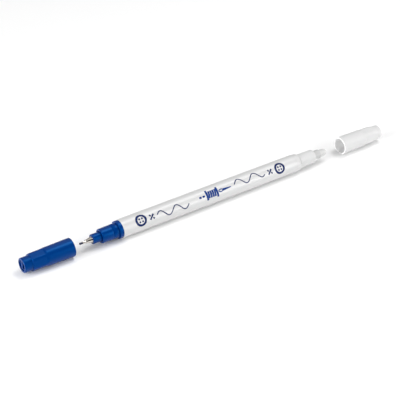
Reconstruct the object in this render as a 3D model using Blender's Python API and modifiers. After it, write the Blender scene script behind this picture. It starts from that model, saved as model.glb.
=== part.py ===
"""Double-ended fabric marking pen with both caps drawn off, lying along X on the floor.

A blue fine end points to -X and a white broad end to +X.  Each end is a moulded section pressed into
the barrel, a nose pressed into the section, and a nib that reaches back into its own ink reservoir.
Each cap holds a soft inner seal and a vented end plug, and slides onto its end along the pen's axis.

Every round piece is turned around the pen's axis with a flat facet at the bottom, so the pen rests on
the flat of its barrel.  A radius below is the distance from the axis to the middle of a facet.
"""

import math

import bpy

MM = 0.001

# Driving dimensions
BARREL_RADIUS = 4.5 * MM
BARREL_LENGTH = 100.35 * MM
BARREL_BORE = 3.6 * MM
CAP_LENGTH = 25.0 * MM
FINE_CAP_GAP = 3.78 * MM  # from the fine nib's tip to the mouth of its cap
BROAD_CAP_GAP = 9.0 * MM  # the same at the broad end

SIDES = 24  # facets round a turned piece
SMALL_SIDES = 12  # the same on the breather tubes
MERGE = 0.005 * MM  # closes the poles and the seam of a turned piece
GAP = 0.3 * MM  # between pieces that touch
SLIDE_GAP = 0.16 * MM  # between pieces that slide over each other
EDGE = 0.25 * MM  # chamfer on moulded edges
GRIP_EDGE = 1.5 * EDGE
SHOULDER_EDGE = 2 * EDGE

# Section: spigot in the barrel, flange that stops the cap, grip
FLANGE_RADIUS = 4.3 * MM
GRIP_RADIUS = 3.56 * MM
GRIP_FRONT_RADIUS = 3.47 * MM
NECK_RADIUS = 3.35 * MM
NECK_LENGTH = 0.6 * MM
SPIGOT_RADIUS = BARREL_BORE - GAP
SPIGOT_LENGTH = 9.0 * MM
SECTION_BORE = 2.5 * MM
FINE = {"flange_front": 1.8 * MM, "grip_front": 10.62 * MM, "nose_front": 14.87 * MM, "tip": 21.6 * MM}
BROAD = {"flange_front": 2.16 * MM, "grip_front": 12.15 * MM, "nose_front": 16.1 * MM, "tip": 20.88 * MM}

# Nose: the nib holder pressed into the front of the section
NOSE_RADIUS = 2.34 * MM
NOSE_SHANK_RADIUS = SECTION_BORE - GAP
NOSE_RECESS = 0.7 * MM  # how far the nose stands back into the section's front
NOSE_SHANK_END = -4.0 * MM
FINE_NOSE_BORE = 1.5 * MM
BROAD_NOSE_BORE = 1.8 * MM

# Metal ferrule and fine nib
FERRULE_BASE_RADIUS = 1.44 * MM
FERRULE_NECK_RADIUS = 0.82 * MM
FERRULE_TUBE_RADIUS = 0.6 * MM
FERRULE_TUBE_BORE = 0.44 * MM
FERRULE_BORE = 0.95 * MM
FERRULE_SHANK_INSET = 2.6 * MM  # from the front of the grip back to the end of the ferrule's shank
CONE_LENGTH = 3.0 * MM
CONE_BORE_START = 0.3 * MM  # where the bore begins to narrow, from the base of the cone
CONE_BORE_SHARE = 0.66  # of the cone's length, over which the bore narrows
FINE_NIB_RADIUS = 0.32 * MM
FINE_NIB_TAIL_RADIUS = 0.7 * MM
FINE_NIB_SHARE = 0.64  # of the cone's length, over which the nib narrows
FINE_NIB_SHOWN = 1.98 * MM  # nib beyond the ferrule

# Broad nib
BROAD_NIB_RADIUS = 1.9 * MM
BROAD_NIB_STRAIGHT = 0.9 * MM  # the side of its head, before the rounded tip
BROAD_NIB_DOME = 1.15 * MM  # radius of the rounded tip
BROAD_NIB_DOME_CENTRE = 0.35 * MM  # from the axis
BROAD_NIB_SHANK_RADIUS = BROAD_NOSE_BORE - GAP
BROAD_NIB_TAIL_RADIUS = 1.1 * MM

# Reservoirs: a fibre core in a film sleeve with a breather tube along it, and a plug between the two
RESERVOIR_START = -10.5 * MM
NIB_TAIL_END = -16.0 * MM
DIVIDER_LENGTH = 3.0 * MM
DIVIDER_LIP = 0.8 * MM
DIVIDER_GROOVE = 0.35 * MM  # depth between its two lips
FILM_RADIUS = SPIGOT_RADIUS
FILM_WALL = 0.2 * MM
CORE_RADIUS = FILM_RADIUS - FILM_WALL - GAP
BREATHER_RADIUS = 0.4 * MM
BREATHER_BORE = 0.2 * MM
BREATHER_OFFSET = CORE_RADIUS - BREATHER_RADIUS
BREATHER_INSET = 1.0 * MM  # how far the breather stops short of each end of the core

# Caps
CAP_SHOULDER_RADIUS = 4.3 * MM
CAP_KNOB_RADIUS = 3.59 * MM
CAP_KNOB_LENGTH = 4.05 * MM
CAP_MOUTH_BORE = 3.95 * MM
CAP_BORE = 3.8 * MM
CAP_BORE_END = 19.8 * MM
CAP_VENT_BORE = 2.6 * MM
CAP_FLATS = 6  # shallow flats round its closed half
CAP_FLAT_START = 13.45 * MM
CAP_FLAT_DISTANCE = 4.2 * MM  # from the axis
CAP_FLAT_DEPTH = 1.0 * MM  # thickness of what is cut away, more than the wall stands proud of the flat
FINE_FIRST_FLAT = math.radians(45)
BROAD_FIRST_FLAT = math.radians(15)
SEAL_START = 10.1 * MM
SEAL_RADIUS = CAP_BORE - GAP
SEAL_WAIST_RADIUS = 3.1 * MM
SEAL_TAIL_RADIUS = CAP_VENT_BORE - GAP
SEAL_TAIL_END = 21.6 * MM
SEAL_BORE = NOSE_RADIUS + SLIDE_GAP
SEAL_BORE_LENGTH = 4.1 * MM  # grips the nose
SEAL_BORE_STEP = 0.3 * MM
SEAL_TIP_BORE = 2.25 * MM  # room for the nib
SEAL_TIP_BORE_LENGTH = 4.0 * MM
SEAL_ROOF = 1.2 * MM
SEAL_ROOF_RADIUS = 0.8 * MM
SEAL_FLANGE = 1.1 * MM
PLUG_RADIUS = CAP_VENT_BORE - GAP
PLUG_BORE = 1.6 * MM
PLUG_START = 22.6 * MM
PLUG_RECESS = 0.5 * MM
PLUG_BAR_WIDTH = 0.9 * MM
PLUG_BAR_RISE = 0.4 * MM  # from the back of the plug to the back of its bar
PLUG_BAR_INSET = 0.1 * MM  # from the end of the cap to the front of the bar

# Overall layout: the origin is on the floor, midway between the two cap ends
FINE_REACH = FINE["tip"] + FINE_CAP_GAP + CAP_LENGTH
BROAD_REACH = BROAD["tip"] + BROAD_CAP_GAP + CAP_LENGTH
FINE_END_X = FINE_REACH - (FINE_REACH + BARREL_LENGTH + BROAD_REACH) / 2
BROAD_END_X = FINE_END_X + BARREL_LENGTH
FINE_CAP_X = FINE_END_X - FINE["tip"] - FINE_CAP_GAP
BROAD_CAP_X = BROAD_END_X + BROAD["tip"] + BROAD_CAP_GAP
TOWARDS_FINE = -math.pi / 2  # turns local +Z to -X
TOWARDS_BROAD = math.pi / 2  # turns local +Z to +X


def collection(name):
    made = bpy.data.collections.new(name)
    bpy.context.scene.collection.children.link(made)
    return made


def material(name, colour, roughness, metallic=0.0):
    made = bpy.data.materials.new(name)
    made.use_nodes = True
    shader = made.node_tree.nodes["Principled BSDF"]
    shader.inputs["Base Color"].default_value = (*colour, 1.0)
    shader.inputs["Roughness"].default_value = roughness
    shader.inputs["Metallic"].default_value = metallic
    return made


def axis_empty(name, x, turn):
    """An empty on the pen's axis whose +Z points out of the end or into the cap that it carries."""
    made = bpy.data.objects.new(name, None)
    made.location = (x, 0.0, BARREL_RADIUS)
    made.rotation_euler = (0.0, turn, 0.0)
    made.empty_display_size = BARREL_RADIUS
    PEN.objects.link(made)
    return made


def turned(name, outline, parent, finish, hollow, sides=SIDES, into=None):
    """Turns (radius, height) points round Z: down the outer side, then up the bore of a hollow piece."""
    half = math.pi / sides
    verts = [(radius, radius * math.tan(half), height) for radius, height in outline]
    edges = [(k, k + 1) for k in range(len(verts) - 1)]
    if hollow:
        edges.append((len(verts) - 1, 0))
    mesh = bpy.data.meshes.new(name)
    mesh.from_pydata(verts, edges, [])
    made = bpy.data.objects.new(name, mesh)
    (into or PEN).objects.link(made)
    made.parent = parent
    if finish:
        mesh.materials.append(finish)
    screw = made.modifiers.new("Turn", "SCREW")
    screw.axis = "Z"
    screw.steps = sides
    screw.render_steps = sides
    screw.use_merge_vertices = True
    screw.merge_threshold = MERGE
    return made


def boolean(made, cutter, operation):
    step = made.modifiers.new(operation.title(), "BOOLEAN")
    step.operation = operation
    step.solver = "EXACT"
    step.object = cutter


def hidden(made):
    made.hide_render = True
    made.display_type = "WIRE"
    return made


def arc(centre_radius, centre_height, size, start, end, count):
    """Points on a round corner, angles in degrees from the outward direction towards +Z."""
    points = []
    for k in range(count + 1):
        angle = math.radians(start + (end - start) * k / count)
        points.append((centre_radius + size * math.cos(angle), centre_height + size * math.sin(angle)))
    return points


# ---- pen ----------------------------------------------------------------------------------------


def barrel(parent):
    outline = [
        (BARREL_RADIUS - EDGE, 0.0),
        (BARREL_RADIUS, -EDGE),
        (BARREL_RADIUS, -BARREL_LENGTH + EDGE),
        (BARREL_RADIUS - EDGE, -BARREL_LENGTH),
        (BARREL_BORE, -BARREL_LENGTH),
        (BARREL_BORE, 0.0),
    ]
    turned("barrel_tube", outline, parent, WHITE_BARREL, hollow=True)


def section(name, parent, end, finish):
    front = end["grip_front"]
    outline = [
        (GRIP_FRONT_RADIUS - GRIP_EDGE, front),
        (GRIP_FRONT_RADIUS, front - GRIP_EDGE),
        (GRIP_RADIUS, end["flange_front"] + NECK_LENGTH),
        (NECK_RADIUS, end["flange_front"] + NECK_LENGTH),
        (NECK_RADIUS, end["flange_front"]),
        (FLANGE_RADIUS - EDGE, end["flange_front"]),
        (FLANGE_RADIUS, end["flange_front"] - EDGE),
        (FLANGE_RADIUS, GAP),
        (SPIGOT_RADIUS, GAP),
        (SPIGOT_RADIUS, EDGE - SPIGOT_LENGTH),
        (SPIGOT_RADIUS - EDGE, -SPIGOT_LENGTH),
        (SECTION_BORE, -SPIGOT_LENGTH),
        (SECTION_BORE, front - NOSE_RECESS - GAP),
        (NOSE_RADIUS + GAP, front - NOSE_RECESS - GAP),
        (NOSE_RADIUS + GAP, front),
    ]
    turned(name, outline, parent, finish, hollow=True)


def nose(name, parent, end, bore, finish):
    seat = end["grip_front"] - NOSE_RECESS
    outline = [
        (NOSE_RADIUS - EDGE, end["nose_front"]),
        (NOSE_RADIUS, end["nose_front"] - EDGE),
        (NOSE_RADIUS, seat),
        (NOSE_SHANK_RADIUS, seat),
        (NOSE_SHANK_RADIUS, NOSE_SHANK_END),
        (bore, NOSE_SHANK_END),
        (bore, end["nose_front"]),
    ]
    turned(name, outline, parent, finish, hollow=True)


def ferrule(parent):
    base = FINE["nose_front"] + GAP
    neck = base + CONE_LENGTH
    tube_end = FINE["tip"] - FINE_NIB_SHOWN
    shank_end = FINE["grip_front"] - FERRULE_SHANK_INSET
    bore_narrows = base + CONE_BORE_START
    outline = [
        (FERRULE_TUBE_RADIUS, tube_end),
        (FERRULE_TUBE_RADIUS, neck + EDGE),
        (FERRULE_NECK_RADIUS, neck),
        (FERRULE_BASE_RADIUS, base),
        (FINE_NOSE_BORE - GAP, base),
        (FINE_NOSE_BORE - GAP, shank_end),
        (FERRULE_BORE, shank_end),
        (FERRULE_BORE, bore_narrows),
        (FERRULE_TUBE_BORE, bore_narrows + CONE_BORE_SHARE * CONE_LENGTH),
        (FERRULE_TUBE_BORE, tube_end),
    ]
    turned("fine_nib_ferrule", outline, parent, CHROME, hollow=True)


def fine_nib(parent):
    tip = FINE["tip"]
    shoulder = FINE["nose_front"] + GAP
    outline = [(0.0, tip)]
    outline += arc(0.0, tip - FINE_NIB_RADIUS, FINE_NIB_RADIUS, 60, 0, 2)
    outline += [
        (FINE_NIB_RADIUS, shoulder + FINE_NIB_SHARE * CONE_LENGTH),
        (FINE_NIB_TAIL_RADIUS, shoulder),
        (FINE_NIB_TAIL_RADIUS, NIB_TAIL_END + EDGE),
        (FINE_NIB_TAIL_RADIUS - EDGE, NIB_TAIL_END),
        (0.0, NIB_TAIL_END),
    ]
    turned("fine_nib_core", outline, parent, DARK_NIB, hollow=False)


def broad_nib(parent):
    tip = BROAD["tip"]
    head_back = BROAD["nose_front"] + GAP
    outline = [(0.0, tip)]
    outline += arc(BROAD_NIB_DOME_CENTRE, tip - BROAD_NIB_DOME, BROAD_NIB_DOME, 80, 15, 4)
    outline += [
        (BROAD_NIB_RADIUS, head_back + BROAD_NIB_STRAIGHT),
        (BROAD_NIB_RADIUS, head_back),
        (BROAD_NIB_SHANK_RADIUS, head_back),
        (BROAD_NIB_SHANK_RADIUS, NOSE_SHANK_END),
        (BROAD_NIB_TAIL_RADIUS, NOSE_SHANK_END - GAP),
        (BROAD_NIB_TAIL_RADIUS, NIB_TAIL_END + EDGE),
        (BROAD_NIB_TAIL_RADIUS - EDGE, NIB_TAIL_END),
        (0.0, NIB_TAIL_END),
    ]
    turned("broad_nib", outline, parent, FIBRE, hollow=False)


def reservoir(side, parent, nib_tail_radius, fibre):
    """Film sleeve, fibre core with a blind hole for the nib's tail, and the breather in its groove."""
    length = (BARREL_LENGTH - DIVIDER_LENGTH) / 2 - GAP + RESERVOIR_START
    bottom = RESERVOIR_START - length
    hole = nib_tail_radius + GAP
    hole_end = NIB_TAIL_END - GAP
    outline = [
        (hole, RESERVOIR_START),
        (CORE_RADIUS, RESERVOIR_START),
        (CORE_RADIUS, bottom),
        (0.0, bottom),
    ]
    core = turned(f"{side}_reservoir_core", [(0.0, hole_end), (hole, hole_end)] + outline, parent, fibre,
                  hollow=False)
    groove_radius = BREATHER_RADIUS + GAP
    top = RESERVOIR_START + GAP
    cutter_outline = [(0.0, top), (groove_radius, top), (groove_radius, bottom - GAP), (0.0, bottom - GAP)]
    cutter = hidden(turned(f"{side}_groove_cutter", cutter_outline, parent, None, hollow=False,
                           sides=SMALL_SIDES, into=CUTTERS))
    cutter.location.x = BREATHER_OFFSET
    boolean(core, cutter, "DIFFERENCE")

    film = [
        (FILM_RADIUS, RESERVOIR_START),
        (FILM_RADIUS, bottom),
        (FILM_RADIUS - FILM_WALL, bottom),
        (FILM_RADIUS - FILM_WALL, RESERVOIR_START),
    ]
    turned(f"{side}_reservoir_film", film, parent, FILM, hollow=True)

    start = RESERVOIR_START - BREATHER_INSET
    end = bottom + BREATHER_INSET
    tube = [
        (BREATHER_RADIUS, start),
        (BREATHER_RADIUS, end),
        (BREATHER_BORE, end),
        (BREATHER_BORE, start),
    ]
    breather = turned(f"{side}_breather_tube", tube, parent, FILM, hollow=True, sides=SMALL_SIDES)
    breather.location.x = BREATHER_OFFSET


def divider(parent):
    middle = -BARREL_LENGTH / 2
    top = middle + DIVIDER_LENGTH / 2
    bottom = middle - DIVIDER_LENGTH / 2
    waist = SPIGOT_RADIUS - DIVIDER_GROOVE
    outline = [
        (0.0, top),
        (SPIGOT_RADIUS, top),
        (SPIGOT_RADIUS, top - DIVIDER_LIP),
        (waist, top - DIVIDER_LIP),
        (waist, bottom + DIVIDER_LIP),
        (SPIGOT_RADIUS, bottom + DIVIDER_LIP),
        (SPIGOT_RADIUS, bottom),
        (0.0, bottom),
    ]
    turned("divider_plug", outline, parent, WHITE_MOULDED, hollow=False)


# ---- caps: height 0 is the mouth, and +Z runs to the closed end ---------------------------------


def block(name, parent, size, place, turn=0.0):
    """A hidden box to cut or join with, turned by an angle round the parent's +Z."""
    bpy.ops.mesh.primitive_cube_add(size=1.0)
    made = bpy.context.object
    made.name = name
    for owner in list(made.users_collection):
        owner.objects.unlink(made)
    CUTTERS.objects.link(made)
    made.parent = parent
    made.location = place
    made.rotation_euler = (0.0, 0.0, turn)
    made.scale = size
    return hidden(made)


def cap_shell(name, parent, finish, first_flat):
    shoulder = CAP_LENGTH - CAP_KNOB_LENGTH
    outline = [
        (CAP_KNOB_RADIUS - EDGE, CAP_LENGTH),
        (CAP_KNOB_RADIUS, CAP_LENGTH - EDGE),
        (CAP_KNOB_RADIUS, shoulder),
        (CAP_SHOULDER_RADIUS - SHOULDER_EDGE, shoulder),
        (CAP_SHOULDER_RADIUS, shoulder - SHOULDER_EDGE),
        (BARREL_RADIUS, EDGE),
        (BARREL_RADIUS - EDGE, 0.0),
        (CAP_MOUTH_BORE, 0.0),
        (CAP_BORE, SEAL_START - GAP),
        (CAP_BORE, CAP_BORE_END),
        (CAP_VENT_BORE, CAP_BORE_END),
        (CAP_VENT_BORE, CAP_LENGTH),
    ]
    shell = turned(name, outline, parent, finish, hollow=True)
    size = (CAP_FLAT_DEPTH, BARREL_RADIUS, CAP_LENGTH - CAP_FLAT_START)
    reach = CAP_FLAT_DISTANCE + CAP_FLAT_DEPTH / 2
    for k in range(CAP_FLATS):
        angle = first_flat + 2 * math.pi * k / CAP_FLATS
        place = (reach * math.cos(angle), reach * math.sin(angle), (CAP_FLAT_START + CAP_LENGTH) / 2)
        boolean(shell, block(f"{name}_flat_{k + 1}", parent, size, place, angle), "DIFFERENCE")


def inner_seal(name, parent):
    rear = CAP_BORE_END - GAP
    bore_end = SEAL_START + SEAL_BORE_LENGTH
    outline = [
        (0.0, SEAL_TAIL_END),
        (SEAL_TAIL_RADIUS, SEAL_TAIL_END),
        (SEAL_TAIL_RADIUS, rear),
        (SEAL_RADIUS, rear),
        (SEAL_RADIUS, rear - SEAL_FLANGE),
        (SEAL_WAIST_RADIUS, rear - SEAL_FLANGE),
        (SEAL_WAIST_RADIUS, SEAL_START + SEAL_FLANGE),
        (SEAL_RADIUS, SEAL_START + SEAL_FLANGE),
        (SEAL_RADIUS, SEAL_START),
        (SEAL_BORE + EDGE, SEAL_START),
        (SEAL_BORE, SEAL_START + EDGE),
        (SEAL_BORE, bore_end),
        (SEAL_TIP_BORE, bore_end + SEAL_BORE_STEP),
        (SEAL_TIP_BORE, bore_end + SEAL_BORE_STEP + SEAL_TIP_BORE_LENGTH),
        (SEAL_ROOF_RADIUS, SEAL_TAIL_END - SEAL_ROOF),
        (0.0, SEAL_TAIL_END - SEAL_ROOF),
    ]
    turned(name, outline, parent, SEAL, hollow=False)


def end_plug(name, parent, finish):
    """Ring in the end of the cap with a bar across it, which leaves two vents."""
    front = CAP_LENGTH - PLUG_RECESS
    outline = [
        (PLUG_RADIUS, front),
        (PLUG_RADIUS, PLUG_START),
        (PLUG_BORE, PLUG_START),
        (PLUG_BORE, front),
    ]
    ring = turned(name, outline, parent, finish, hollow=True)
    bar_back = PLUG_START + PLUG_BAR_RISE
    bar_front = CAP_LENGTH - PLUG_BAR_INSET
    size = (PLUG_BORE + PLUG_RADIUS, PLUG_BAR_WIDTH, bar_front - bar_back)
    bar = block(f"{name}_bar", parent, size, (0.0, 0.0, (bar_back + bar_front) / 2))
    boolean(ring, bar, "UNION")


def cap(side, parent, finish, first_flat):
    cap_shell(f"{side}_cap_shell", parent, finish, first_flat)
    inner_seal(f"{side}_cap_inner_seal", parent)
    end_plug(f"{side}_cap_end_plug", parent, finish)


for old in list(bpy.data.objects):
    bpy.data.objects.remove(old, do_unlink=True)

PEN = collection("fabric_marking_pen")
CUTTERS = collection("cutters")

BLUE = material("blue_moulded", (0.005, 0.045, 0.32), 0.38)
WHITE_BARREL = material("white_barrel", (0.80, 0.82, 0.85), 0.32)
WHITE_MOULDED = material("white_moulded", (0.84, 0.85, 0.86), 0.42)
CHROME = material("chrome", (0.86, 0.85, 0.83), 0.12, metallic=1.0)
DARK_NIB = material("dark_nib", (0.03, 0.03, 0.06), 0.5)
FIBRE = material("white_fibre", (0.86, 0.86, 0.84), 0.85)
INKED_FIBRE = material("inked_fibre", (0.04, 0.10, 0.45), 0.85)
FILM = material("film", (0.82, 0.84, 0.85), 0.25)
SEAL = material("inner_seal", (0.80, 0.80, 0.78), 0.5)

fine_axis = axis_empty("fine_axis", FINE_END_X, TOWARDS_FINE)
broad_axis = axis_empty("broad_axis", BROAD_END_X, TOWARDS_BROAD)
fine_cap_axis = axis_empty("fine_cap_axis", FINE_CAP_X, TOWARDS_FINE)
broad_cap_axis = axis_empty("broad_cap_axis", BROAD_CAP_X, TOWARDS_BROAD)

barrel(broad_axis)
divider(broad_axis)

section("fine_section", fine_axis, FINE, BLUE)
nose("fine_nib_holder", fine_axis, FINE, FINE_NOSE_BORE, BLUE)
ferrule(fine_axis)
fine_nib(fine_axis)
reservoir("fine", fine_axis, FINE_NIB_TAIL_RADIUS, INKED_FIBRE)

section("broad_section", broad_axis, BROAD, WHITE_MOULDED)
nose("broad_nib_holder", broad_axis, BROAD, BROAD_NOSE_BORE, WHITE_MOULDED)
broad_nib(broad_axis)
reservoir("broad", broad_axis, BROAD_NIB_TAIL_RADIUS, FIBRE)

cap("fine", fine_cap_axis, BLUE, FINE_FIRST_FLAT)
cap("broad", broad_cap_axis, WHITE_MOULDED, BROAD_FIRST_FLAT)
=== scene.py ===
"""Looks of the fabric marking pen: finely turned pieces, their materials, the print, the light, the camera.

Lengths are in metres, in the frame of the CAD model.  The pen lies along X.  A distance called along is
measured outwards from an end of the barrel, or from the mouth of a cap to its closed end.  An angle
round the pen is measured from -Y upwards, so 90 degrees is the top.
"""

import math

import bmesh
import bpy
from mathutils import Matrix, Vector


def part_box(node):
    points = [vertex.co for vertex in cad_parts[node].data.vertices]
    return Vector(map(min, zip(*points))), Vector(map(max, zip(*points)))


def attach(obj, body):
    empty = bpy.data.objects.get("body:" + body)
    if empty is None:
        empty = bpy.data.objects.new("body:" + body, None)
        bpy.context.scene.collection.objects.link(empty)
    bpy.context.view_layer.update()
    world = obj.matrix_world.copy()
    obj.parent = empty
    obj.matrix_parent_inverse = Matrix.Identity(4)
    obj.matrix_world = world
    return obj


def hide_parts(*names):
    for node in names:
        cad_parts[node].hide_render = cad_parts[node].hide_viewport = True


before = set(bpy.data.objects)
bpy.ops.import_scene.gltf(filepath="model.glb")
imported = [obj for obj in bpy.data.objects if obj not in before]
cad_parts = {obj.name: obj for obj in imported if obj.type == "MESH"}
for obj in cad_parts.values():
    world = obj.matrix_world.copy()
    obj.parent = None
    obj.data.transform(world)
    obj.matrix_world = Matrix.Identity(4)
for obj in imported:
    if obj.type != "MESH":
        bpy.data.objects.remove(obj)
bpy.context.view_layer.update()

MM = 0.001

# ---- places, from the frame -----------------------------------------------------------------------

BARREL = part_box("barrel_tube")
FINE_END = BARREL[0].x
BROAD_END = BARREL[1].x
RADIUS = (BARREL[1].z - BARREL[0].z) / 2
AXIS_Z = (BARREL[1].z + BARREL[0].z) / 2
TO_FINE = -1.0  # direction of along on the fine side
TO_BROAD = 1.0


def reach(node, base, way):
    """(nearest, farthest) distance of a CAD node along its side of the pen."""
    low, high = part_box(node)
    return sorted((way * (low.x - base), way * (high.x - base)))


def girth(node):
    """Radius of a CAD node."""
    low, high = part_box(node)
    return (high.y - low.y) / 2


# ---- driving dimensions ---------------------------------------------------------------------------

SEGMENTS = 120  # round every turned piece
ARC_STEPS = 5  # in each rounded corner
ROUNDING_SHARE = 0.48  # of a side of an outline, the most that one rounding takes
TIGHT = 0.02 * MM  # between pressed pieces
EDGE = 0.22 * MM  # rounding of moulded edges
SHARP = 0.06 * MM  # rounding of fine edges

# Barrel, sections and noses.
BARREL_BORE = 3.6 * MM
FLANGE_RADIUS = 4.3 * MM
FINE_FLANGE = 1.8 * MM
BROAD_FLANGE = 2.16 * MM
NECK_RADIUS = 3.35 * MM
NECK_LENGTH = 0.6 * MM
GRIP_RADIUS = 3.56 * MM
GRIP_FRONT_RADIUS = 3.47 * MM
GRIP_EDGE = 0.4 * MM
GROOVE_PLACE = 5.0 * MM
GROOVE_HALF = 0.15 * MM  # half the width of its floor
GROOVE_RIM = 1.6  # half the width of its top, in halves of its floor
GROOVE_DEPTH = 0.12 * MM
SECTION_BORE = 2.5 * MM
NOSE_RECESS = 0.85 * MM
NOSE_SEAT_RADIUS = 2.62 * MM
FINE_NOSE_BORE = 1.5 * MM
BROAD_NOSE_BORE = 1.8 * MM

# Metal cone and tube of the fine nib.  Lengths are from the front of the nose.
FOOT_LENGTH = 0.25 * MM
FOOT_EDGE = 0.3 * MM
CONE_LENGTH = 3.2 * MM
CONE_STEP = 0.22 * MM  # from the cone's end to the tube
CONE_END_RADIUS = 0.82 * MM
TUBE_RADIUS = 0.6 * MM
TUBE_BORE = 0.52 * MM
FERRULE_BACK_BORE = 0.95 * MM
FUNNEL_START = 0.3 * MM  # where the wide bore starts to narrow
FUNNEL_END = 2.3 * MM

# Nibs.
NIB_WEAR = 0.4 * MM  # how much sooner the fine nib ends than the CAD's
NIB_EDGE = 0.28 * MM
NIB_SHOULDER = 0.3 * MM  # from the front of the nose to the end of its thicker tail
NIB_TAPER = 1.92 * MM
DOME_LENGTH = 3.0 * MM  # rounded part of the broad nib
DOME_STEPS = 12
BROAD_SHANK_END = -4.0 * MM
BROAD_TAIL_START = -4.3 * MM
BROAD_TAIL_RADIUS = 1.1 * MM

# Cap shells.
CAP_SHOULDER_RADIUS = 4.3 * MM
CAP_KNOB_RADIUS = 3.59 * MM
CAP_KNOB_LENGTH = 4.05 * MM
CAP_MOUTH_BORE = 3.75 * MM
CAP_BORE = 3.8 * MM
CAP_LIP = 1.0 * MM
CAP_RIM_EDGE = 0.12 * MM
CAP_BORE_END = 19.8 * MM
CAP_VENT_BORE = 2.6 * MM
CAP_VENT_EDGE = 0.12 * MM
BLUE_CAP_EDGE = 0.5 * MM
BLUE_CAP_SLOPE = 0.0  # its shoulder is a square step
WHITE_CAP_EDGE = 1.0 * MM
WHITE_CAP_SLOPE = 3.4 * MM
FLATS = 6
FLAT_START = 13.3 * MM
FLAT_RAMP = 1.2 * MM
RAMP_STEPS = 8
FLAT_HALF = math.radians(22)
FIRST_FLAT = math.radians(15)
FLAT_WALL = 0.05 * MM  # kept between a flat and the bore

# Soft seals in the caps.  Lengths are from the seal's open front.
SEAL_FLANGE = 1.1 * MM
SEAL_WAIST_RADIUS = 3.1 * MM
SEAL_MOUTH_BORE = 2.5 * MM
SEAL_MOUTH_EDGE = 0.35 * MM
SEAL_SEAT_END = 4.1 * MM
SEAL_CUP_START = 4.4 * MM
SEAL_CUP_END = 8.4 * MM
SEAL_CUP_BORE = 2.25 * MM
SEAL_TIP_BORE = 0.8 * MM
SEAL_TIP_WALL = 1.2 * MM
SEAL_TAIL_GAP = 0.3 * MM  # between its tail and the vent's bore

# End plugs in the caps.
PLUG_STEP = 0.4 * MM  # the bar stands out of the ring by this, and ends this much short of its back
PLUG_RING_BORE = 1.6 * MM
PLUG_RING_EDGE = 0.2 * MM
PLUG_BAR_WIDTH = 0.9 * MM
PLUG_BAR_HEIGHT = 3.7 * MM
PLUG_BAR_EDGE = 0.14 * MM
PLUG_BAR_STEPS = 4


# ---- materials ------------------------------------------------------------------------------------

CLOUD_SCALE = 260.0  # clouds of colour per metre
CLOUD_DETAIL = 4.0
GLOSS_SCALE = 3.1 * CLOUD_SCALE
GLOSS_DETAIL = 6.0
GRAIN_DETAIL = 3.0


def noise(nodes, links, coordinates, scale, detail, stretch):
    """Noise in the piece's own coordinates; scale is in features per metre."""
    mapping = nodes.new("ShaderNodeMapping")
    mapping.inputs["Scale"].default_value = stretch
    links.new(coordinates, mapping.inputs["Vector"])
    node = nodes.new("ShaderNodeTexNoise")
    node.inputs["Scale"].default_value = scale
    node.inputs["Detail"].default_value = detail
    links.new(mapping.outputs["Vector"], node.inputs["Vector"])
    return node.outputs["Fac"]


def surface(name, colour, spread, rough, grain, grain_scale, stretch=(1.0, 1.0, 1.0), **sockets):
    """A Principled material: clouded colour, uneven gloss and a fine relief.

    colour and spread are the mean linear colour and the share by which the clouds move it, rough is the
    (lowest, highest) roughness, grain is the relief's depth and grain_scale its features per metre.
    stretch scales the noise along X, Y and Z, and sockets are the shader's other values.
    """
    made = bpy.data.materials.new(name)
    made.use_nodes = True
    nodes, links = made.node_tree.nodes, made.node_tree.links
    shader = nodes["Principled BSDF"]
    place = nodes.new("ShaderNodeTexCoord").outputs["Object"]

    clouds = noise(nodes, links, place, CLOUD_SCALE, CLOUD_DETAIL, stretch)
    tint = nodes.new("ShaderNodeMix")
    tint.data_type = "RGBA"
    tint.inputs["A"].default_value = (*(c * (1 - spread) for c in colour), 1.0)
    tint.inputs["B"].default_value = (*(c * (1 + spread) for c in colour), 1.0)
    links.new(clouds, tint.inputs["Factor"])
    links.new(tint.outputs["Result"], shader.inputs["Base Color"])

    wear = noise(nodes, links, place, GLOSS_SCALE, GLOSS_DETAIL, stretch)
    gloss = nodes.new("ShaderNodeMapRange")
    gloss.inputs["To Min"].default_value = rough[0]
    gloss.inputs["To Max"].default_value = rough[1]
    links.new(wear, gloss.inputs["Value"])
    links.new(gloss.outputs["Result"], shader.inputs["Roughness"])

    fine = noise(nodes, links, place, grain_scale, GRAIN_DETAIL, stretch)
    bump = nodes.new("ShaderNodeBump")
    bump.inputs["Distance"].default_value = grain
    links.new(fine, bump.inputs["Height"])
    links.new(bump.outputs["Normal"], shader.inputs["Normal"])

    for socket, value in sockets.items():
        shader.inputs[socket.replace("_", " ")].default_value = value
    return made


def milky(depth, weight=1.0):
    """Sockets of a plastic in which light spreads by depth, in every colour alike."""
    return {"Subsurface_Weight": weight, "Subsurface_Scale": depth, "Subsurface_Radius": (1.0, 1.0, 1.0)}


BLUE = surface(
    "blue_plastic", (0.0, 0.027, 0.165), spread=0.05, rough=(0.20, 0.30), grain=0.004 * MM,
    grain_scale=5200.0, Specular_IOR_Level=0.6, Specular_Tint=(0.0, 0.35, 1.0, 1.0))
WHITE_BARREL = surface(
    "white_barrel", (0.59, 0.59, 0.59), spread=0.012, rough=(0.26, 0.34), grain=0.002 * MM,
    grain_scale=3000.0, Specular_IOR_Level=0.5, Coat_Weight=0.25, Coat_Roughness=0.16)
WHITE_PLASTIC = surface(
    "white_plastic", (0.62, 0.62, 0.62), spread=0.015, rough=(0.46, 0.60), grain=0.004 * MM,
    grain_scale=5200.0, Specular_IOR_Level=0.35, **milky(0.5 * MM, weight=0.5))
# Painted light: a far brighter copy of the white plastic, laid on the white cap's bore and mouth rim so
# that its inside and rim look lit.
WHITE_PAINTED_LIT_INSIDE = surface(
    "white_plastic_painted_lit_inside", (0.985, 0.985, 0.985), spread=0.015, rough=(0.32, 0.44), grain=0.004 * MM,
    grain_scale=5200.0, Specular_IOR_Level=0.5, **milky(1.5 * MM))
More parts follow.
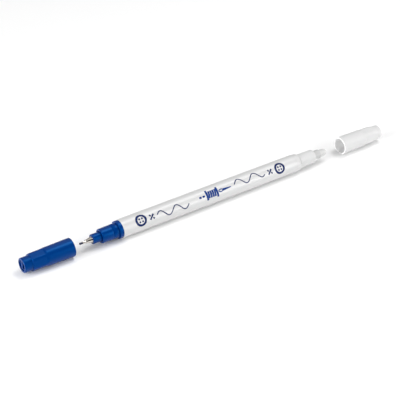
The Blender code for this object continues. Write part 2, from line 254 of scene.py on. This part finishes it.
FROSTED = surface(
    "frosted_plastic", (0.51, 0.51, 0.51), spread=0.02, rough=(0.38, 0.50), grain=0.004 * MM,
    grain_scale=5200.0, Specular_IOR_Level=0.4, **milky(1.2 * MM))
SEAL = surface(
    "seal_plastic", (0.88, 0.88, 0.87), spread=0.02, rough=(0.40, 0.52), grain=0.004 * MM,
    grain_scale=4200.0, **milky(3.0 * MM))
CHROME = surface(
    "chrome_metal", (0.70, 0.66, 0.61), spread=0.03, rough=(0.08, 0.14), grain=0.001 * MM,
    grain_scale=2600.0, stretch=(6.0, 0.4, 0.4), Metallic=1.0)
NIB_ROD = surface(
    "dark_nib", (0.02, 0.022, 0.06), spread=0.25, rough=(0.38, 0.55), grain=0.003 * MM,
    grain_scale=6000.0)
FIBRE = surface(
    "white_fibre", (0.60, 0.60, 0.595), spread=0.06, rough=(0.78, 0.92), grain=0.02 * MM,
    grain_scale=4200.0, stretch=(0.12, 1.0, 1.0), Specular_IOR_Level=0.2)
INKED = surface(
    "inked_fibre", (0.03, 0.08, 0.42), spread=0.25, rough=(0.7, 0.9), grain=0.03 * MM,
    grain_scale=3200.0, stretch=(0.06, 1.0, 1.0), Specular_IOR_Level=0.2)
FILM = surface(
    "clear_film", (0.82, 0.84, 0.85), spread=0.02, rough=(0.12, 0.22), grain=0.002 * MM,
    grain_scale=1800.0, Transmission_Weight=0.6, IOR=1.49)
INK = surface(
    "print_ink", (0.0, 0.013, 0.09), spread=0.12, rough=(0.34, 0.46), grain=0.002 * MM,
    grain_scale=7000.0, Specular_IOR_Level=0.2)
BRIGHT_INK = surface(
    "print_ink_bright", (0.0, 0.032, 0.19), spread=0.12, rough=(0.34, 0.46), grain=0.002 * MM,
    grain_scale=7000.0, Specular_IOR_Level=0.2)


# ---- turned pieces --------------------------------------------------------------------------------


def rounded(corners, closed):
    """Points of an outline through (along, radius, rounding) corners."""
    points = []
    last = len(corners) - 1
    for k, (along, radius, rounding) in enumerate(corners):
        here = Vector((along, radius))
        if rounding == 0 or (not closed and k in (0, last)):
            points.append(here)
            continue
        back = Vector(corners[k - 1][:2]) - here
        ahead = Vector(corners[0 if k == last else k + 1][:2]) - here
        most = ROUNDING_SHARE * min(back.length, ahead.length)
        cut = min(rounding / math.tan(back.angle(ahead) / 2), most)
        start = here + back.normalized() * cut
        end = here + ahead.normalized() * cut
        for step in range(ARC_STEPS + 1):
            t = step / ARC_STEPS
            points.append(start * (1 - t) ** 2 + here * 2 * t * (1 - t) + end * t ** 2)
    return points


def on_pen(x, radius, angle):
    """A point at a radius and an angle round the pen's axis."""
    return Vector((x, -radius * math.cos(angle), AXIS_Z + radius * math.sin(angle)))


def make_object(mesh, name, material):
    """Puts a bmesh into the scene as an object."""
    data = bpy.data.meshes.new(name)
    mesh.to_mesh(data)
    mesh.free()
    data.materials.append(material)
    made = bpy.data.objects.new(name, data)
    bpy.context.scene.collection.objects.link(made)
    return made


def finish_mesh(mesh, name, body, material, nodes=()):
    """Makes the object, shades it smooth, and ties it to the frame."""
    bmesh.ops.recalc_face_normals(mesh, faces=mesh.faces)
    made = make_object(mesh, name, material)
    made.data.shade_smooth()
    made.modifiers.new("Even shading", "WEIGHTED_NORMAL")
    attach(made, body)
    if nodes:
        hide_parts(*nodes)
    return made


def turned(name, corners, base, way, body, material, nodes=(), hollow=True, shape=None, lining=None):
    """A piece turned round the pen's axis.  A solid piece's outline starts and ends on the axis.

    shape(along, radius, angle) gives the radius of a piece that isn't fully round.  lining is a second
    material, and a test of (along, radius) that says where it covers the piece.
    """
    mesh = bmesh.new()
    rings = []
    outline = rounded(corners, hollow)
    for along, radius in outline:
        x = base + way * along
        if radius == 0:
            rings.append([mesh.verts.new((x, 0.0, AXIS_Z))])
            continue
        ring = []
        for k in range(SEGMENTS):
            angle = 2 * math.pi * k / SEGMENTS
            shaped = shape(along, radius, angle) if shape else radius
            ring.append(mesh.verts.new(on_pen(x, shaped, angle)))
        rings.append(ring)
    pairs = [(k, k + 1) for k in range(len(rings) - 1)]
    if hollow:
        pairs.append((len(rings) - 1, 0))
    covers = lining[1] if lining else lambda along, radius: False
    for first, second in pairs:
        one, two = rings[first], rings[second]
        lined = covers(*outline[first]) and covers(*outline[second])
        for k in range(SEGMENTS):
            n = (k + 1) % SEGMENTS
            if len(one) == 1:
                mesh.faces.new((one[0], two[k], two[n]))
            elif len(two) == 1:
                mesh.faces.new((one[k], two[0], one[n]))
            else:
                face = mesh.faces.new((one[k], two[k], two[n], one[n]))
                face.material_index = int(lined)
    made = finish_mesh(mesh, name, body, material, nodes)
    if lining:
        made.data.materials.append(lining[0])
    return made


# ---- pen ------------------------------------------------------------------------------------------


def barrel():
    """Plain tube."""
    length = BROAD_END - FINE_END
    corners = [
        (0.0, RADIUS, EDGE),
        (length, RADIUS, EDGE),
        (length, BARREL_BORE, SHARP),
        (0.0, BARREL_BORE, SHARP),
    ]
    turned("barrel", corners, FINE_END, TO_BROAD, "pen", WHITE_BARREL, ["barrel_tube"])


def groove(place):
    """Corners of a shallow groove round the grip, from its front side to its back."""
    floor_radius = GRIP_RADIUS - GROOVE_DEPTH
    return (
        (place + GROOVE_RIM * GROOVE_HALF, GRIP_RADIUS, 0.0),
        (place + GROOVE_HALF, floor_radius, 0.0),
        (place - GROOVE_HALF, floor_radius, 0.0),
        (place - GROOVE_RIM * GROOVE_HALF, GRIP_RADIUS, 0.0),
    )


def section(side, base, way, flange, material, grip_groove=()):
    """Spigot, flange, neck and grip; the nose stands in its front.  flange is the flange's length."""
    node = f"{side}_section"
    back, front = reach(node, base, way)
    corners = [
        (front, GRIP_FRONT_RADIUS, GRIP_EDGE),
        *grip_groove,
        (flange + NECK_LENGTH, GRIP_RADIUS, EDGE),
        (flange + NECK_LENGTH, NECK_RADIUS, SHARP),
        (flange, NECK_RADIUS, SHARP),
        (flange, FLANGE_RADIUS, EDGE),
        (TIGHT, FLANGE_RADIUS, SHARP),
        (TIGHT, BARREL_BORE - TIGHT, SHARP),
        (back, BARREL_BORE - TIGHT, EDGE),
        (back, SECTION_BORE, SHARP),
        (front - NOSE_RECESS, SECTION_BORE, 0.0),
        (front - NOSE_RECESS, NOSE_SEAT_RADIUS, 0.0),
        (front, NOSE_SEAT_RADIUS, SHARP),
    ]
    turned(f"{side}_grip_section", corners, base, way, "pen", material, [node])


def nose(side, base, way, bore, material):
    """Narrower front pressed into the section."""
    node = f"{side}_nib_holder"
    back, front = reach(node, base, way)
    seat = reach(f"{side}_section", base, way)[1] - NOSE_RECESS + TIGHT
    radius = girth(node)
    corners = [
        (front, radius, EDGE),
        (seat, radius, SHARP),
        (seat, SECTION_BORE - TIGHT, SHARP),
        (back, SECTION_BORE - TIGHT, EDGE),
        (back, bore, SHARP),
        (front, bore, SHARP),
    ]
    turned(f"{side}_nose", corners, base, way, "pen", material, [node])


def ferrule():
    """Metal cone pressed into the fine nose, drawn out into the thin tube that holds the nib."""
    back, front = reach("fine_nib_ferrule", FINE_END, TO_FINE)
    foot = reach("fine_nib_holder", FINE_END, TO_FINE)[1] + TIGHT
    foot_radius = girth("fine_nib_ferrule")
    cone_end = foot + CONE_LENGTH
    corners = [
        (front, TUBE_RADIUS, SHARP),
        (cone_end + CONE_STEP, TUBE_RADIUS, SHARP),
        (cone_end, CONE_END_RADIUS, SHARP),
        (foot + FOOT_LENGTH, foot_radius, FOOT_EDGE),
        (foot, foot_radius, SHARP),
        (foot, FINE_NOSE_BORE - TIGHT, 0.0),
        (back, FINE_NOSE_BORE - TIGHT, SHARP),
        (back, FERRULE_BACK_BORE, SHARP),
        (foot + FUNNEL_START, FERRULE_BACK_BORE, 0.0),
        (foot + FUNNEL_END, TUBE_BORE, 0.0),
        (front, TUBE_BORE, SHARP),
    ]
    turned("fine_nib_tube", corners, FINE_END, TO_FINE, "pen", CHROME, ["fine_nib_ferrule"])


def fine_nib():
    """Plastic rod: a thin front in the metal tube and a thicker tail."""
    back, front = reach("fine_nib_core", FINE_END, TO_FINE)
    front -= NIB_WEAR
    shoulder = reach("fine_nib_holder", FINE_END, TO_FINE)[1] + NIB_SHOULDER
    radius = TUBE_BORE - TIGHT
    tail = girth("fine_nib_core")
    corners = [
        (front, 0.0, 0.0),
        (front, radius, NIB_EDGE),
        (shoulder + NIB_TAPER, radius, 0.0),
        (shoulder, tail, 0.0),
        (back, tail, EDGE),
        (back, 0.0, 0.0),
    ]
    turned("fine_nib", corners, FINE_END, TO_FINE, "pen", NIB_ROD, ["fine_nib_core"],
           hollow=False)


def broad_nib():
    """Bullet head with an elliptical dome, a shank in the nose and a thinner tail."""
    back, front = reach("broad_nib", BROAD_END, TO_BROAD)
    nose_front = reach("broad_nib_holder", BROAD_END, TO_BROAD)[1]
    head = girth("broad_nib")
    dome = [math.pi / 2 * k / DOME_STEPS for k in range(DOME_STEPS + 1)]
    corners = [
        *((front - DOME_LENGTH * (1 - math.cos(a)), head * math.sin(a), 0.0) for a in dome),
        (nose_front + TIGHT, head, SHARP),
        (nose_front + TIGHT, BROAD_NOSE_BORE - TIGHT, 0.0),
        (BROAD_SHANK_END, BROAD_NOSE_BORE - TIGHT, 0.0),
        (BROAD_TAIL_START, BROAD_TAIL_RADIUS, 0.0),
        (back, BROAD_TAIL_RADIUS, EDGE),
        (back, 0.0, 0.0),
    ]
    turned("broad_bullet_nib", corners, BROAD_END, TO_BROAD, "pen", FIBRE, ["broad_nib"],
           hollow=False)


# ---- caps -----------------------------------------------------------------------------------------


def smooth(value):
    """0 to 1 with a soft start and end."""
    value = min(max(value, 0.0), 1.0)
    return value * value * (3 - 2 * value)


def cap_side(along, shoulder):
    """Radius of the cap's gently tapered outside."""
    return RADIUS + (CAP_SHOULDER_RADIUS - RADIUS) * along / shoulder


def cap_shell(side, mouth, way, material, inside, slope, edge):
    """The shell: open mouth, tapered side with flats, shoulder and narrower closed end.

    inside is the material of the bore and the mouth's rim; on the white cap it is a far brighter copy of
    its plastic, painted light that makes the inside and the rim look lit.
    slope is how long the shoulder is, and edge the rounding of the shoulder and the closed end. The
    shoulder's foot has a third of it.
    """
    node = f"{side}_cap_shell"
    length = reach(node, mouth, way)[1]
    shoulder = length - CAP_KNOB_LENGTH
    step = 2 * math.pi / FLATS

    def flattened(along, radius, angle):
        """Six shallow flats on the closed half, each running out in a short ramp."""
        across = (angle - FIRST_FLAT + step / 2) % step - step / 2
        outside = cap_side(along, shoulder)
        if abs(across) >= FLAT_HALF or radius < CAP_BORE + FLAT_WALL:
            return radius
        chord = outside * math.cos(FLAT_HALF) / math.cos(across)
        return min(radius, outside + (chord - outside) * smooth((along - FLAT_START) / FLAT_RAMP))

    def within(along, radius):
        """Whether a point of the outline lies on the bore or on the mouth's rim, where the lining goes; on
        the white cap that lining is painted light.
        """
        return along < CAP_RIM_EDGE or (along < CAP_BORE_END + TIGHT and radius < CAP_BORE + TIGHT)

    ramp_places = [FLAT_START + FLAT_RAMP * k / RAMP_STEPS for k in range(RAMP_STEPS + 1)]
    corners = [
        (0.0, CAP_MOUTH_BORE, CAP_RIM_EDGE),
        (0.0, RADIUS, CAP_RIM_EDGE),
        *((along, cap_side(along, shoulder), 0.0) for along in ramp_places),
        (shoulder - slope / 2, CAP_SHOULDER_RADIUS, edge),
        (shoulder + slope / 2, CAP_KNOB_RADIUS, edge / 3),
        (length, CAP_KNOB_RADIUS, edge),
        (length, CAP_VENT_BORE, CAP_VENT_EDGE),
        (CAP_BORE_END, CAP_VENT_BORE, 0.0),
        (CAP_BORE_END, CAP_BORE, 0.0),
        (CAP_LIP, CAP_BORE, 0.0),
    ]
    turned(f"{side}_cap", corners, mouth, way, f"{side}_cap", material, [node], shape=flattened,
           lining=(inside, within))


def inner_seal(side, mouth, way):
    """Soft inner cap that closes on the nose: two flanges in the bore, a waist and a blind cup."""
    node = f"{side}_cap_inner_seal"
    front, tail = reach(node, mouth, way)
    rear = CAP_BORE_END - TIGHT
    outer = CAP_BORE - TIGHT
    tail_radius = CAP_VENT_BORE - SEAL_TAIL_GAP
    corners = [
        (tail, 0.0, 0.0),
        (tail, tail_radius, EDGE),
        (rear, tail_radius, SHARP),
        (rear, outer, SHARP),
        (rear - SEAL_FLANGE, outer, SHARP),
        (rear - SEAL_FLANGE, SEAL_WAIST_RADIUS, SHARP),
        (front + SEAL_FLANGE, SEAL_WAIST_RADIUS, SHARP),
        (front + SEAL_FLANGE, outer, SHARP),
        (front, outer, EDGE),
        (front, SEAL_MOUTH_BORE, SEAL_MOUTH_EDGE),
        (front + SEAL_SEAT_END, SEAL_MOUTH_BORE, SHARP),
        (front + SEAL_CUP_START, SEAL_CUP_BORE, SHARP),
        (front + SEAL_CUP_END, SEAL_CUP_BORE, EDGE),
        (tail - SEAL_TIP_WALL, SEAL_TIP_BORE, EDGE),
        (tail - SEAL_TIP_WALL, 0.0, 0.0),
    ]
    turned(f"{side}_cap_seal", corners, mouth, way, f"{side}_cap", SEAL, [node],
           hollow=False)


def end_plug(side, mouth, way, material):
    """Ring in the cap's closed end, with a bar across it that leaves two vents."""
    node = f"{side}_cap_end_plug"
    back, bar_front = reach(node, mouth, way)
    ring_front = bar_front - PLUG_STEP
    corners = [
        (ring_front, CAP_VENT_BORE - TIGHT, PLUG_RING_EDGE),
        (back, CAP_VENT_BORE - TIGHT, SHARP),
        (back, PLUG_RING_BORE, SHARP),
        (ring_front, PLUG_RING_BORE, PLUG_RING_EDGE),
    ]
    turned(f"{side}_cap_vent_ring", corners, mouth, way, f"{side}_cap", material, [node])
    mesh = bmesh.new()
    bmesh.ops.create_cube(mesh, size=1.0)
    size = Vector((bar_front - back - PLUG_STEP, PLUG_BAR_WIDTH, PLUG_BAR_HEIGHT))
    middle = Vector((mouth + way * (bar_front - size.x / 2), 0.0, AXIS_Z))
    for vert in mesh.verts:
        vert.co = middle + vert.co * size
    bmesh.ops.bevel(mesh, geom=mesh.edges[:], offset=PLUG_BAR_EDGE, segments=PLUG_BAR_STEPS, profile=0.5,
                    affect="EDGES")
    finish_mesh(mesh, f"{side}_cap_vent_bar", f"{side}_cap", material, [node])


# ---- print ----------------------------------------------------------------------------------------
# A place on the print is (distance from the barrel's fine end, arc from the print's middle line).

PRINT_ANGLE = math.radians(38.5)  # the middle line's place round the barrel
PRINT_HEIGHT = 0.02 * MM  # above the barrel, and as much below
PRINT_STEP = 0.25 * MM  # spacing of points along a stroke
THREAD_STEP = 0.15 * MM
LOOP_LEAST = 16  # points in a small loop
STROKE_COLUMNS = 4
PRINT_LINE = 0.2 * MM  # arc at which most of the print is centred


def stroke(mesh, path, width, closed=False):
    """Adds a thin closed slab that follows a path of places.

    width is a number, or a function of the share of the path that is behind.
    """
    wide = width if callable(width) else lambda share: width
    count = len(path)
    rows = []
    for k, point in enumerate(path):
        before = path[k - 1] if (closed or k) else path[0]
        after = path[(k + 1) % count] if (closed or k < count - 1) else path[-1]
        heading = (after - before).normalized()
        side = Vector((-heading.y, heading.x))
        half = wide(k / (count - 1)) / 2
        row = []
        for level in (PRINT_HEIGHT, -PRINT_HEIGHT):
            for c in range(STROKE_COLUMNS):
                spot = point + side * half * (2 * c / (STROKE_COLUMNS - 1) - 1)
                angle = PRINT_ANGLE + spot.y / RADIUS
                row.append(mesh.verts.new(on_pen(FINE_END + spot.x, RADIUS + level, angle)))
        rows.append(row[:STROKE_COLUMNS] + row[:STROKE_COLUMNS - 1:-1])
    pairs = list(zip(rows, rows[1:]))
    if closed:
        pairs.append((rows[-1], rows[0]))
    around = 2 * STROKE_COLUMNS
    for one, two in pairs:
        for c in range(around):
            n = (c + 1) % around
            mesh.faces.new((one[c], two[c], two[n], one[n]))
    if not closed:
        for row in (rows[0], rows[-1]):
            for c in range(STROKE_COLUMNS - 1):
                mesh.faces.new((row[c], row[c + 1], row[around - 2 - c], row[around - 1 - c]))


def line(start, end):
    """Path straight from one place to another."""
    start, end = Vector(start), Vector(end)
    count = max(2, math.ceil((end - start).length / PRINT_STEP))
    return [start.lerp(end, k / count) for k in range(count + 1)]


def loop(centre, size, wide=1.0):
    """Closed path round an ellipse: size is its half height, and wide its width over its height."""
    count = max(LOOP_LEAST, math.ceil(2 * math.pi * size / PRINT_STEP))
    turns = [2 * math.pi * k / count for k in range(count)]
    return [Vector((centre[0] + wide * size * math.cos(a), centre[1] + size * math.sin(a))) for a in turns]


def button(mesh, centre):
    """A four-hole button, seen from above."""
    rim, from_centre = 2.4 * MM, 0.75 * MM
    stroke(mesh, loop(centre, rim), 1.1 * MM, closed=True)
    for x in (-1, 1):
        for y in (-1, 1):
            hole = (centre[0] + x * from_centre, centre[1] + y * from_centre)
            stroke(mesh, loop(hole, 0.24 * MM), 0.47 * MM, closed=True)


def cross_stitch(mesh, centre):
    """One diagonal over the other, which is broken where it passes under."""
    half = 1.15 * MM
    hidden = 0.42  # share of the lower thread under the upper one
    width = 0.75 * MM
    x, y = centre
    stroke(mesh, line((x - half, y - half), (x + half, y + half)), width)
    for way in (-1, 1):
        inner = (x + way * hidden * half, y - way * hidden * half)
        stroke(mesh, line(inner, (x + way * half, y - way * half)), width)


def thread(mesh, start, end, crest, centre, wavelength):
    """A wavy line: crest is where one of its crests lies, centre its mean height."""
    swing = 1.68 * MM
    count = math.ceil((end - start) / THREAD_STEP)
    path = []
    for k in range(count + 1):
        x = start + (end - start) * k / count
        path.append(Vector((x, centre + swing * math.cos(2 * math.pi * (x - crest) / wavelength))))
    stroke(mesh, path, 0.5 * MM)


def running_stitches(mesh, start, y):
    """Two short stitches in line."""
    for k in range(2):
        at = start + k * 1.9 * MM
        stroke(mesh, line((at, y), (at + 1.3 * MM, y)), 0.95 * MM)


def spool(mesh, centre):
    """A spool of thread lying on its side: two flanges and the windings between them."""
    x, y = centre
    flange_place, flange_half = 2.9 * MM, 2.5 * MM
    for way in (-1, 1):
        flange = x + way * flange_place
        stroke(mesh, line((flange, y - flange_half), (flange, y + flange_half)), 1.1 * MM)
    windings, pitch = 4, 1.16 * MM
    lean, winding_half = 0.2 * MM, 1.75 * MM
    for k in range(windings):
        turn = x + (k - (windings - 1) / 2) * pitch
        stroke(mesh, line((turn - lean, y - winding_half), (turn + lean, y + winding_half)), 0.97 * MM)


def needle(mesh, start, end, y):
    """A needle with its eye at the start and its point at the end."""
    eye = start + 1.1 * MM
    shaft = eye + 1.2 * MM
    thick, taper = 1.25 * MM, 0.85 * MM
    stroke(mesh, loop((eye, y), 0.6 * MM, wide=1.8), 0.5 * MM, closed=True)
    stroke(mesh, line((shaft, y), (end, y)), lambda share: thick - taper * share)


def barrel_print():
    """Buttons, stitches and thread in navy, and the middle of the print in a brighter blue."""
    sides = bmesh.new()
    button(sides, (9.6 * MM, PRINT_LINE))
    cross_stitch(sides, (15.4 * MM, 0.0))
    thread(sides, 18.3 * MM, 35.9 * MM, crest=20.2 * MM, centre=-0.4 * MM, wavelength=8.9 * MM)
    thread(sides, 62.3 * MM, 80.2 * MM, crest=64.9 * MM, centre=0.85 * MM, wavelength=9.2 * MM)
    cross_stitch(sides, (83.5 * MM, PRINT_LINE))
    button(sides, (89.4 * MM, PRINT_LINE))
    finish_mesh(sides, "barrel_print", "pen", INK)

    middle = bmesh.new()
    running_stitches(middle, 41.9 * MM, PRINT_LINE)
    spool(middle, (49.3 * MM, PRINT_LINE))
    needle(middle, 53.2 * MM, 60.2 * MM, PRINT_LINE)
    finish_mesh(middle, "barrel_middle_print", "pen", BRIGHT_INK)


# ---- light, floor and camera ----------------------------------------------------------------------

AMBIENT = 0.30
FLOOR_HALF = 3.0  # metres
FLOOR_CELLS = 8


def floor():
    """A plain pale table top."""
    mesh = bmesh.new()
    bmesh.ops.create_grid(mesh, x_segments=FLOOR_CELLS, y_segments=FLOOR_CELLS, size=FLOOR_HALF)
    paper = surface("floor_paper", (0.97, 0.97, 0.97), spread=0.004, rough=(0.8, 0.9), grain=0.01 * MM,
                    grain_scale=900.0, Specular_IOR_Level=0.1)
    made = make_object(mesh, "floor", paper)


def direction(azimuth, elevation):
    """Unit vector at angles in degrees; azimuth 0 is in front of the pen, at -Y, and 90 at its +X end."""
    a, e = math.radians(azimuth), math.radians(elevation)
    return Vector((math.sin(a) * math.cos(e), -math.cos(a) * math.cos(e), math.sin(e)))


def softbox(name, azimuth, elevation, distance, wide, high, power):
    """A rectangular lamp that faces the pen: angles in degrees, lengths in metres, power in watts."""
    data = bpy.data.lights.new(name, "AREA")
    data.shape = "RECTANGLE"
    data.size = wide
    data.size_y = high
    data.energy = power
    made = bpy.data.objects.new(name, data)
    made.location = direction(azimuth, elevation) * distance
    made.rotation_euler = (-made.location).to_track_quat("-Z", "Y").to_euler()
    made.visible_camera = False
    bpy.context.scene.collection.objects.link(made)


def surroundings():
    """A dim studio with broad soft glows, and a darker side in front of the pen.

    Each glow is (azimuth, elevation, half width, brightness at its middle); below zero it darkens.
    """
    glows = (
        (0, 90, 43, 0.36),
        (95, 55, 33, 0.70),
        (138, 42, 24, 0.45),
        (-80, 45, 43, 0.30),
        (-15, 22, 38, -0.28),
    )
    world = bpy.data.worlds.new("studio")
    world.use_nodes = True
    nodes, links = world.node_tree.nodes, world.node_tree.links
    place = nodes.new("ShaderNodeTexCoord")
    total = None
    for azimuth, elevation, half_width, brightness in glows:
        facing = nodes.new("ShaderNodeVectorMath")
        facing.operation = "DOT_PRODUCT"
        facing.inputs[1].default_value = direction(azimuth, elevation)
        links.new(place.outputs["Generated"], facing.inputs[0])
        glow = nodes.new("ShaderNodeMapRange")
        glow.interpolation_type = "SMOOTHSTEP"
        glow.inputs["From Min"].default_value = math.cos(math.radians(half_width))
        glow.inputs["To Max"].default_value = brightness
        links.new(facing.outputs["Value"], glow.inputs["Value"])
        add = nodes.new("ShaderNodeMath")
        add.operation = "ADD"
        add.inputs[0].default_value = AMBIENT
        if total:
            links.new(total, add.inputs[0])
        links.new(glow.outputs["Result"], add.inputs[1])
        total = add.outputs["Value"]
    background = nodes["Background"]
    background.inputs["Color"].default_value = (1.0, 1.0, 1.0, 1.0)
    links.new(total, background.inputs["Strength"])
    bpy.context.scene.world = world


def camera():
    """Looks at the pen from above its left end, as one looks at a pen on a table."""
    out = direction(-34.587, 33.225)
    distance = 0.6176
    target = Vector((-0.0078, 0.0, 0.0037))
    data = bpy.data.cameras.new("camera")
    data.lens = 117.3
    data.sensor_width = 36.0
    made = bpy.data.objects.new("camera", data)
    made.location = target + out * distance
    made.rotation_euler = (-out).to_track_quat("-Z", "Y").to_euler()
    bpy.context.scene.collection.objects.link(made)
    bpy.context.scene.camera = made


# ---- everything in its place ----------------------------------------------------------------------

barrel()
section("fine", FINE_END, TO_FINE, FINE_FLANGE, BLUE, groove(GROOVE_PLACE))
nose("fine", FINE_END, TO_FINE, FINE_NOSE_BORE, BLUE)
ferrule()
fine_nib()
section("broad", BROAD_END, TO_BROAD, BROAD_FLANGE, WHITE_PLASTIC)
nose("broad", BROAD_END, TO_BROAD, BROAD_NOSE_BORE, FROSTED)
broad_nib()
barrel_print()

# The white cap's bore and rim get painted light, a far brighter copy of its plastic; the blue cap's are
# plain blue.
for side, way, material, slot, inside, slope, edge in (
        ("fine", TO_FINE, BLUE, "blue_plastic", BLUE, BLUE_CAP_SLOPE, BLUE_CAP_EDGE),
        ("broad", TO_BROAD, WHITE_PLASTIC, "white_plastic", WHITE_PAINTED_LIT_INSIDE, WHITE_CAP_SLOPE, WHITE_CAP_EDGE)):
    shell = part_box(f"{side}_cap_shell")
    mouth = shell[1].x if side == "fine" else shell[0].x
    cap_shell(side, mouth, way, material, inside, slope, edge)
    inner_seal(side, mouth, way)
    end_plug(side, mouth, way, material)

# The pieces inside the barrel keep their CAD shapes.
for node, material in (("divider_plug", WHITE_PLASTIC), ("fine_reservoir_core", INKED),
                       ("fine_reservoir_film", FILM), ("fine_breather_tube", FILM),
                       ("broad_reservoir_core", FIBRE), ("broad_reservoir_film", FILM),
                       ("broad_breather_tube", FILM)):
    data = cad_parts[node].data
    data.materials.clear()
    data.materials.append(material)

floor()
surroundings()
softbox("front_strip", azimuth=45, elevation=12, distance=0.8, wide=0.7, high=0.6, power=6.0)
softbox("left_card", azimuth=-88, elevation=18, distance=0.7, wide=0.4, high=0.4, power=4.4)
softbox("top_lamp", azimuth=98, elevation=66, distance=0.8, wide=0.34, high=0.34, power=1.5)
camera()
bpy.context.scene.view_settings.view_transform = "Standard"


def corners(box):
    """The two corners of a box as lists."""
    return [list(corner) for corner in box]
